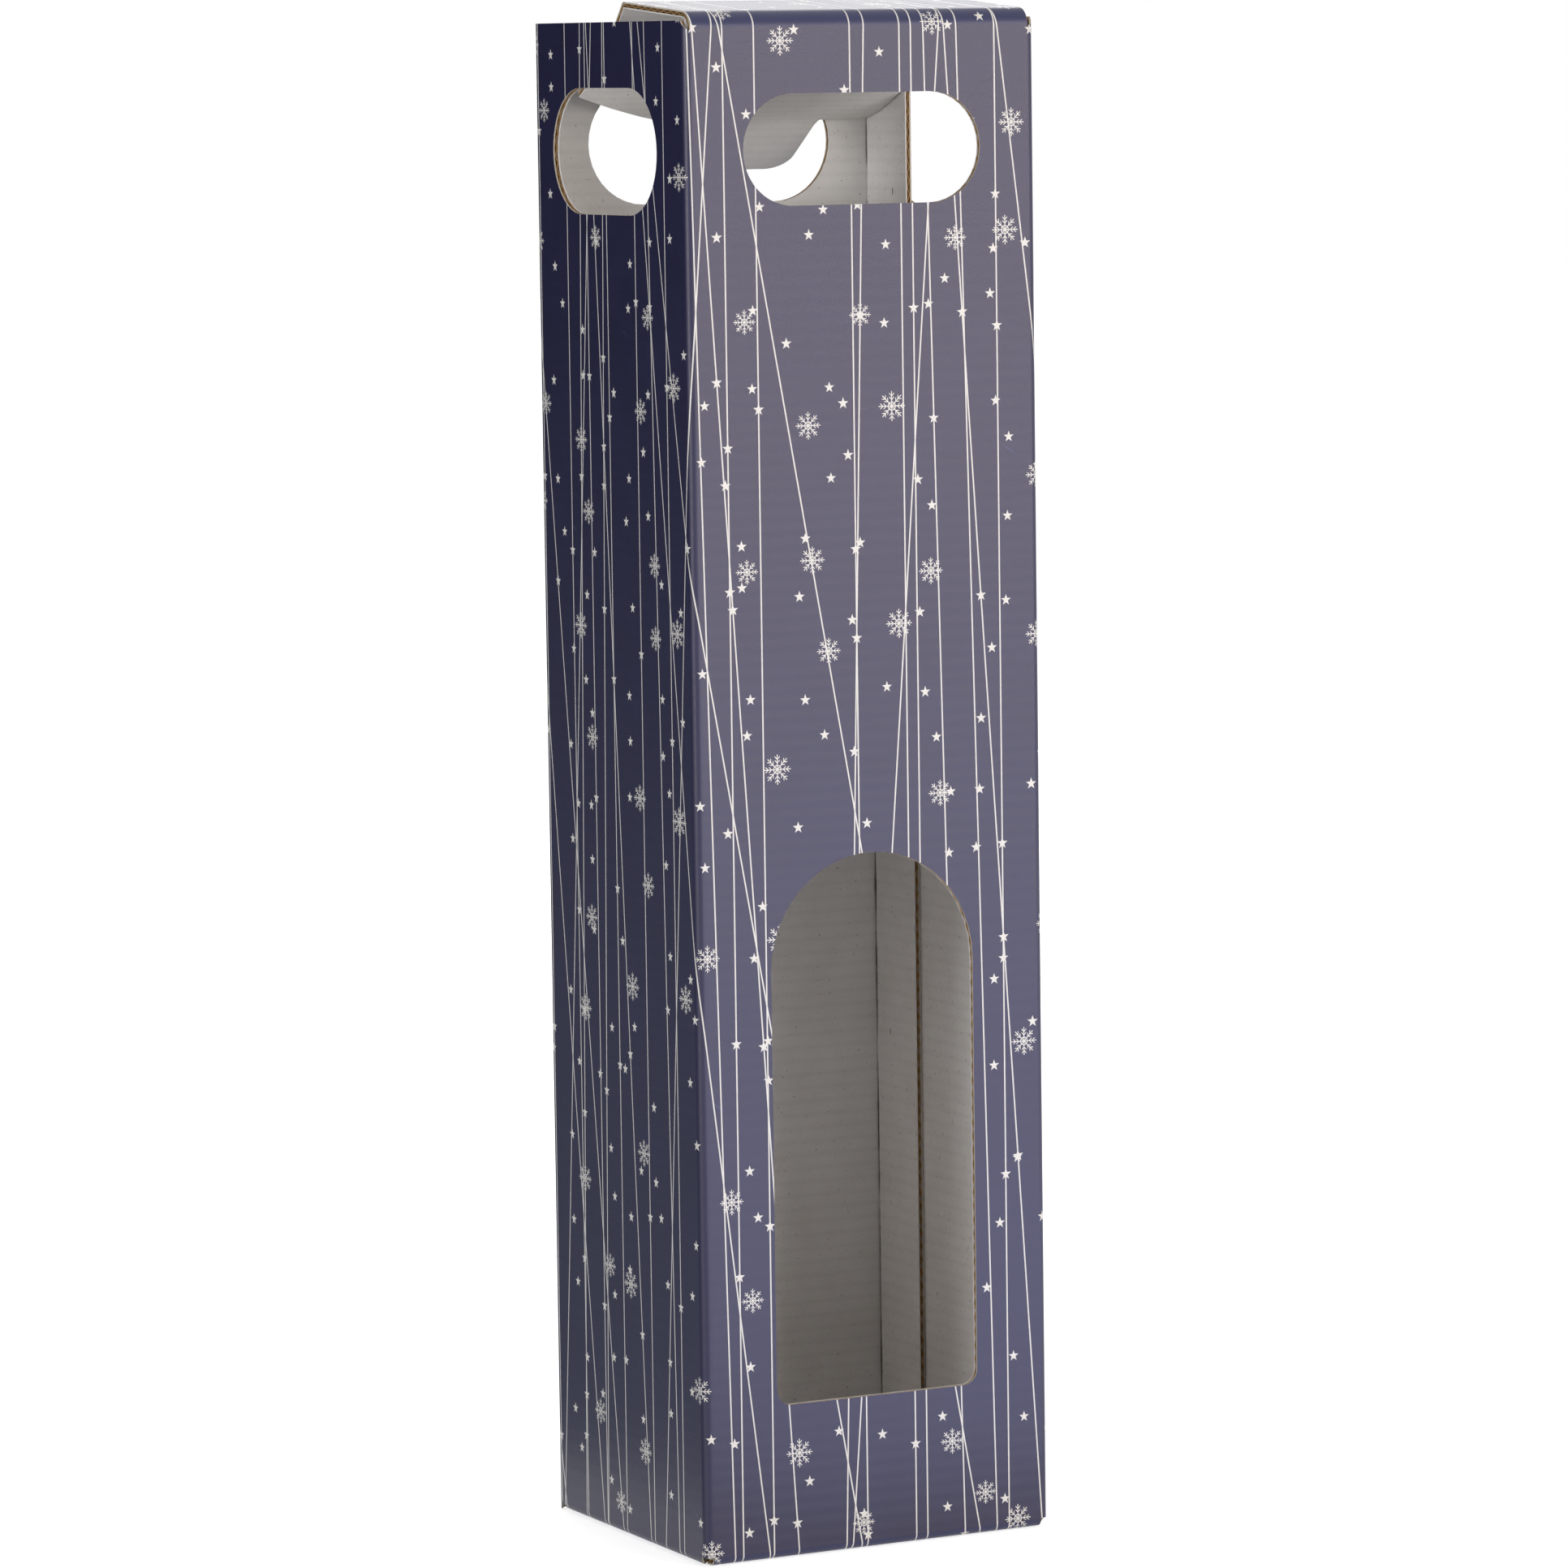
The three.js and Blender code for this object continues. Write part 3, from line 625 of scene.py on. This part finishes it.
def wave(v):
    """Depth of the fluting's outer face: a rounded zigzag of the flute pitch between the liners, sine
    less a ninth of the sine of three times the phase, pressed flat in the creases."""
    phase = 2 * math.pi * (v - front_top) / flute_pitch
    zigzag = np.sin(phase) - np.sin(3 * phase) / 9
    swing = flute_swing * zigzag * (1 - crease_press * lid_crease(v))
    return liner_thickness + glue_film + flute_middle + swing


folded_lining = recycled("grey_white_recycled_liner_of_the_flaps", "blank")
lid_columns = np.linspace(-lid_half, lid_half, 13)
lid_rows = np.unique(np.r_[lid_breaks[:2 + crease_steps], lid_crease_end + crease_margin,
                           np.linspace(lid_crease_end, lid_end, 9)])
wave_rows = np.arange(front_top, lid_end, flute_pitch / wave_steps)
lid_print = paper("lid_top_print", [plain(lid_columns, lid_rows)], over_lid(), lambda u, v: lid_crease(v))
lid_waves = paper("lid_top_waves", [plain([-lid_half, 0.0, lid_half], wave_rows)], over_lid(wave),
                  thickness=flute_paper, finishes=(kraft,))
lid_lining = paper("lid_top_lining", [plain(lid_columns, lid_rows)], over_lid(board - inner_liner),
                   thickness=inner_liner, finishes=(folded_lining,))
for piece, node, slot in ((lid_print, "lid_top_printed_liner", "printed_paper"),
                          (lid_waves, "lid_top_fluting", "brown_fluting"),
                          (lid_lining, "lid_top_inner_liner", "white_liner")):
    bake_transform(piece)
    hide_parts(node)

# Lid flap: the lid top's board, which slopes down inside to the back wall in a shallow bow. It has a
# round shoulder at its right, a long taper at its left, and a tongue that passes out through the back
# hand hole.
flap_low, flap_high = corners_of("lid_flap_printed_liner")
flap_left, flap_right = flap_low[0], flap_high[0]
shoulder_radius, tongue_radius = 3.0, 6.0
tongue_left, tongue_right = -5.0, 31.0
taper_length, taper_breadth = 20.0, 34.0
flap_tip = slope_length + tongue_length
flap_rows, round_rows = 24, 8
flap_inset = 0.05


def rowed(columns, rows):
    """Grid of points (u, v) whose columns differ from row to row."""
    return np.stack([columns, np.repeat(rows[:, None], columns.shape[1], axis=1)], axis=-1)


def flap_grids(fine):
    """Two grids: the flap between its side edges, and the tongue between its own. The edges follow the
    taper on the left, x = left + breadth * share, and round corners, x = centre + sqrt(radius^2 - rise^2)."""
    rounding = 1 - np.sin(np.linspace(0, quarter_turn, round_rows))
    share = np.linspace(0, 1, 7)
    down = np.unique(np.round(np.r_[
        fine[fine < slope_length], slope_length - shoulder_radius, slope_length - taper_length,
        slope_length - shoulder_radius * rounding, slope_length], 4))
    left = flap_left + taper_breadth * np.clip((down - slope_length + taper_length) / taper_length, 0, 1)
    rise = np.clip(down - slope_length + shoulder_radius, 0, shoulder_radius)
    right = flap_right - shoulder_radius + np.sqrt(np.maximum(shoulder_radius ** 2 - rise ** 2, 0))
    body_columns = np.concatenate([
        left[:, None] + share[:-1] * (tongue_left - left[:, None]),
        tongue_left + share[:-1] * (tongue_right - tongue_left) + 0 * left[:, None],
        tongue_right + share * (right[:, None] - tongue_right)], axis=1)
    out = np.unique(np.round(np.r_[
        fine[(fine > slope_length) & (fine < flap_tip)], slope_length, flap_tip - tongue_radius,
        flap_tip - tongue_radius * rounding, flap_tip], 4))
    rise = np.clip(out - flap_tip + tongue_radius, 0, tongue_radius)
    inset = tongue_radius - np.sqrt(np.maximum(tongue_radius ** 2 - rise ** 2, 0))
    tongue_columns = tongue_left + inset[:, None] + share * (tongue_right - tongue_left - 2 * inset[:, None])
    return [rowed(body_columns, flap_begin + down), rowed(tongue_columns, flap_begin + out)]


body, tongue = flap_grids(np.linspace(0, flap_tip, flap_rows))
rear_strip = plain(body[0, :, 0], np.linspace(lid_end, flap_begin, crease_steps + 1))
flap_print = paper("lid_flap_print", [rear_strip, body, tongue], over_lid(), lambda u, v: lid_crease(v))
flap_waves = paper("lid_flap_waves", flap_grids(np.arange(flap_inset, flap_tip, flute_pitch / wave_steps)),
                   over_lid(wave), thickness=flute_paper, finishes=(kraft,))
flap_lining = paper("lid_flap_lining", flap_grids(np.linspace(flap_inset, flap_tip, flap_rows)),
                    over_lid(board - inner_liner), thickness=inner_liner, finishes=(folded_lining,))
for piece, node, slot in ((flap_print, "lid_flap_printed_liner", "printed_paper"),
                          (flap_waves, "lid_flap_fluting", "brown_fluting"),
                          (flap_lining, "lid_flap_inner_liner", "white_liner")):
    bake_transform(piece)
    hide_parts(node)

# Base panel: the front wall's board folded under at its foot, print outside and grey liner inside.
# Behind its crease it is cut in at 45 degrees, to lie between the ramps of the dust flaps.
base_half_crease = corners_of("base_panel_printed_liner")[1][0]
tuck_half, _, tuck_top = corners_of("tuck_flap_printed_liner")[1]
tuck_axis = np.array(hinges["tuck_fold"]["pos_m"][1:]) / millimetre
dust_ramp, slip, base_neck = 4.5, 0.3, 4.0
base_path = creased(
    (front_face, front_foot), -quarter_turn, 1,
    [(front_foot - crease_radius, 0), square, (tuck_axis[0] - front_face - crease_radius, 0),
     (board, quarter_turn), (tuck_top - board, 0)])
base_path[:, 0] = front_foot - base_path[:, 0]
base_breaks = base_path[:, 0]
base_path = base_path[::-1]
base_crease = crease_share(base_path)


def under_base(u, v):
    """Folds the blank under the base and up into the tuck flap: u lies along x, and v runs back and up
    below zero."""
    y, z = along(base_path, v)
    return np.stack([u, y, z], axis=-1)


base_flat_end = base_breaks[2 + crease_steps]
base_half = half_width - crease_radius - dust_ramp - slip
neck_rows = (base_breaks[1 + crease_steps] + crease_radius - base_neck
             - np.array([base_half_crease - base_half, 0.0]))
base_rows = np.unique(np.r_[base_breaks[:2 + crease_steps], neck_rows,
                            np.linspace(base_flat_end, neck_rows[0], 7)])
base_side = np.interp(base_rows, neck_rows, [base_half, base_half_crease])
base_share = np.linspace(-1, 1, 9)
base_print = paper("base_panel_print", [rowed(base_side[:, None] * base_share, base_rows)], under_base,
                   lambda u, v: base_crease(v))
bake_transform(base_print)
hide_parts("base_panel_printed_liner")
cover("base_panel_fluting", kraft)
cover("base_panel_inner_liner", lining)

# Tuck flap: the base panel's board bent up once more, with two round corners. It stands inside the
# back wall, where its own spring holds the base shut.
tuck_radius, tuck_height = 7.0, tuck_top - board
tuck_begin = base_breaks[2 + 2 * crease_steps]
tuck_rounding = 1 - np.sin(np.linspace(0, quarter_turn, 9))
tuck_drop = np.unique(np.r_[0.0, tuck_height - tuck_radius * tuck_rounding])
tuck_rise = np.clip(tuck_drop - tuck_height + tuck_radius, 0, tuck_radius)
tuck_side = tuck_half - tuck_radius + np.sqrt(np.maximum(tuck_radius ** 2 - tuck_rise ** 2, 0))
tuck_grid = rowed(tuck_side[::-1, None] * base_share, (tuck_begin - tuck_drop)[::-1])
tuck_fold_rows = np.linspace(tuck_begin, base_flat_end, crease_steps + 1)
tuck_print = paper("tuck_flap_print", [tuck_grid, plain(tuck_half * base_share, tuck_fold_rows)], under_base,
                   lambda u, v: base_crease(v))
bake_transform(tuck_print)
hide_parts("tuck_flap_printed_liner")
cover("tuck_flap_fluting", kraft)
cover("tuck_flap_inner_liner", lining)

# Dust flaps: the side walls' board, folded in at their feet and up a short ramp to lie above the base
# panel. Their fronts are cut off at 45 degrees, so that they fold in without catching.
dust_floor, dust_reach, ramp_radius = board + slip, 38.0, 1.5
dust_root, dust_back = 39.5, 32.0
ramp_fall = dust_floor - 2 * ramp_radius
ramp_length = math.sqrt(dust_ramp ** 2 + ramp_fall ** 2 - 4 * ramp_radius ** 2)
ramp_angle = math.atan2(ramp_fall, dust_ramp) + math.atan2(2 * ramp_radius, ramp_length)
dust_path = creased(
    (-half_width, side_foot), -quarter_turn, 1,
    [(side_foot - crease_radius, 0), square, (ramp_radius, ramp_angle), (ramp_length, 0),
     (-ramp_radius, -ramp_angle), (dust_reach - crease_radius - dust_ramp, 0)])
dust_flat, dust_end = dust_path[-2:, 0]
dust_run = np.unique(np.r_[dust_path[:, 0], np.linspace(dust_flat, dust_end, 9),
                           dust_flat + dust_root - dust_back - crease_radius - dust_ramp])[::-1]
inward = along(dust_path, dust_run)[0] + half_width
dust_edges = np.stack([inward - dust_root, np.maximum(dust_root - inward, dust_back)], axis=1)


def tucked_in(side):
    """Folds a side wall's foot inwards and up its ramp: u runs on round the walls, and v falls below the
    foot. Side is -1 at the left and 1 at the right."""
    def fold(u, v):
        x, z = along(dust_path, side_foot - v)
        return np.stack([-side * x, side * u - side_start + front_face + crease_radius, z], axis=-1)
    return fold


for side, name in ((-1, "left"), (1, "right")):
    blank_edges = np.sort(side * (side_start + dust_edges - front_face - crease_radius), axis=1)
    dust_columns = blank_edges[:, :1] + np.linspace(0, 1, 9) * np.diff(blank_edges)
    dust_print = paper("dust_flap_%s_print" % name, [rowed(dust_columns, side_foot - dust_run)],
                       tucked_in(side))
    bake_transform(dust_print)
    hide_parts("dust_flap_%s_printed_liner" % name)
    cover("dust_flap_%s_fluting" % name, kraft)
    cover("dust_flap_%s_inner_liner" % name, lining)

# Studio: a plain pale floor, a white surround, and soft boxes at the front right, at the left, behind
# and overhead. A dark screen at the left, an apron before it and a pale card on the floor are seen only
# in the varnish, where they grade its sheen. They throw neither light nor shade on the object.
floor_level, floor_reach, card_level, screen_top = -0.0003, 8.0, 0.0005, 1.5
near_glow, far_glow, glow_from, glow_to = 0.7, 1.0, 0.2, 1.0
screen_glow, screen_fade = 0.38, 0.36
fill_light, seen_light = 0.1, 1.0


def plane(name, corners, colour):
    """A flat four-cornered surface for the stage, with a plain matt finish."""
    mesh = bpy.data.meshes.new(name)
    mesh.from_pydata(corners, [], [(0, 1, 2, 3)])
    piece = bpy.data.objects.new(name, mesh)
    bpy.context.scene.collection.objects.link(piece)
    material, tree, shader = finish(name)
    mesh.materials.append(material)
    shader.inputs["Base Color"].default_value = linear(colour)
    shader.inputs["Roughness"].default_value = 0.8
    return piece, tree, shader


def seen(tree):
    """1 for rays from the camera, a gloss or a clear surface, and 0 for those that light the object."""
    path = add(tree, "LightPath").node.outputs
    shown = add(tree, "Math", path["Is Camera Ray"], path["Is Glossy Ray"], operation="MAXIMUM")
    return add(tree, "Math", shown, path["Is Transmission Ray"], operation="MAXIMUM")


_, floor_tree, floor_shader = plane(
    "pale_floor", [(x * floor_reach, y * floor_reach, floor_level)
                   for x, y in ((-1, -1), (1, -1), (1, 1), (-1, 1))], "#E6E6E6")
floor_shader.inputs["Emission Color"].default_value = linear("#FFFFFF")
far = add(floor_tree, "VectorMath", add(floor_tree, "TexCoord").node.outputs["Object"], operation="LENGTH")
glow = add(floor_tree, "MapRange", far, glow_from, glow_to, near_glow, far_glow)
floor_tree.links.new(add(floor_tree, "Math", seen(floor_tree), glow, operation="MULTIPLY"),
                     floor_shader.inputs["Emission Strength"])
screen, screen_tree, screen_shader = plane(
    "dark_screen", [(-0.9, -0.02, 0.0), (0.05, 0.47, 0.0),
                    (0.05, 0.47, screen_top), (-0.9, -0.02, screen_top)], "#060606")
screen_place = add(screen_tree, "SeparateXYZ", add(screen_tree, "TexCoord").node.outputs["Object"])
screen_shader.inputs["Emission Color"].default_value = linear("#ECF4FF")
screen_tree.links.new(
    add(screen_tree, "MapRange", screen_place.node.outputs["Z"], 0.0, screen_fade, screen_glow, 0.0,
        interpolation_type="SMOOTHSTEP"), screen_shader.inputs["Emission Strength"])
cards = [screen]
for name, corners, colour, strength in (
        ("dark_apron", ((-0.96, 0.0), (-0.08, -0.03), (-0.08, 0.08), (0.05, 0.47)), "#ECF4FF", 0.4),
        ("pale_card", ((0.0, -0.1), (0.2, -1.3), (1.0, -1.2), (0.4, -0.1)), "#D1DDFF", 3.5)):
    card, _, card_shader = plane(name, [(x, y, card_level) for x, y in corners], "#060606")
    card_shader.inputs["Emission Color"].default_value = linear(colour)
    card_shader.inputs["Emission Strength"].default_value = strength
    cards.append(card)
for card in cards:
    card.visible_camera = card.visible_diffuse = card.visible_shadow = card.visible_transmission = False
world = bpy.data.worlds.new("studio")
bpy.context.scene.world = world
world.use_nodes = True
backdrop = world.node_tree.nodes["Background"]
backdrop.inputs["Color"].default_value = linear("#FFFFFF")
world.node_tree.links.new(
    add(world.node_tree, "MapRange", seen(world.node_tree), 0.0, 1.0, fill_light, seen_light),
    backdrop.inputs["Strength"])
for name, place, aim, size, power, colour in (
        ("soft_box", (0.76, -1.43, 0.50), (0, 0, 0.2), (1.2, 0.9), 16.6, "#FFF8F2"),
        ("left_box", (-1.14, -0.53, 0.42), (0, 0, 0.34), (0.4, 0.4), 5.6, "#FFFFFF"),
        ("back_box", (0.6, 1.5, 0.8), (0, 0, 0.25), (1.4, 1.0), 10.0, "#FFFFFF"),
        ("top_box", (-0.1, 0.25, 1.7), (0, 0, 0.3), (1.0, 1.0), 6.0, "#FFFFFF")):
    lamp = bpy.data.lights.new(name, "AREA")
    lamp.shape = "RECTANGLE"
    lamp.size, lamp.size_y = size
    lamp.energy = power
    lamp.color = linear(colour)[:3]
    lamp_object = bpy.data.objects.new(name, lamp)
    lamp_object.location = place
    lamp_object.rotation_euler = (Vector(aim) - Vector(place)).to_track_quat("-Z", "Y").to_euler()
    bpy.context.scene.collection.objects.link(lamp_object)

# Camera: at the photograph's angle, a little above the middle of the box and to the left of its front.
# Its focal length, stand and slight roll were fitted to the box's long edges.
image_size, focal_pixels = 1932, 8692
azimuth, elevation, roll = (math.radians(angle) for angle in (-27.22, 5.96, -0.79))
target = Vector((0, 0, 0.188))
camera_distance, camera_offset = 1.7635, 0.0019
back = Vector((math.sin(azimuth) * math.cos(elevation), -math.cos(azimuth) * math.cos(elevation),
               math.sin(elevation)))
right = (-back).cross(Vector((0, 0, 1))).normalized()
up = right.cross(-back)
turned_right = right * math.cos(roll) + up * math.sin(roll)
turned_up = up * math.cos(roll) - right * math.sin(roll)
stand = target + back * camera_distance - camera_offset * turned_right - camera_offset * turned_up
camera = bpy.data.cameras.new("camera")
camera.sensor_width = 36
camera.lens = camera.sensor_width * focal_pixels / image_size
camera_object = bpy.data.objects.new("camera", camera)
bpy.context.scene.collection.objects.link(camera_object)
camera_object.matrix_world = Matrix((
    (turned_right.x, turned_up.x, back.x, stand.x), (turned_right.y, turned_up.y, back.y, stand.y),
    (turned_right.z, turned_up.z, back.z, stand.z), (0, 0, 0, 1)))
bpy.context.scene.camera = camera_object
bpy.context.scene.view_settings.view_transform = "Standard"
